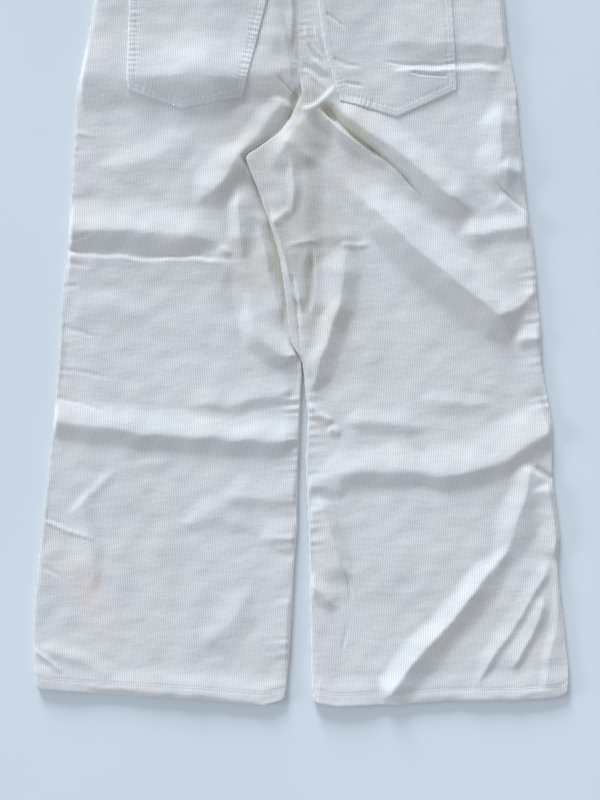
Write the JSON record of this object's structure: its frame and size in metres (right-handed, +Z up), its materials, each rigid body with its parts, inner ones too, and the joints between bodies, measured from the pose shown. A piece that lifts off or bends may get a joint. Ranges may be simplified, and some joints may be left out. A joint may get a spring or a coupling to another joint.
{
  "type": "corduroy trousers laid flat",
  "caption": "Wide-leg cream corduroy trousers laid flat on their front, back side up, with patch back pockets, one leg lapped over the other at the crotch, and creases.",
  "frame": {"origin": "centre of the outline, on the surface that the trousers lie on", "axes": "+Y from the hems to the waist, +X to the wearer's right, +Z up from the surface, through the front panels to the back panels"},
  "size_m": [0.604, 0.9356, 0.0124],
  "materials": {
    "corduroy": "matt cotton corduroy with a soft nap",
    "button": "satin ivory"
  },
  "bodies": {
    "root": {"front_left": "corduroy", "front_right": "corduroy", "back_left": "corduroy", "back_right": "corduroy", "pocket_left": "corduroy", "pocket_right": "corduroy", "waistband": "corduroy", "button": "button"}
  },
  "joints": []
}
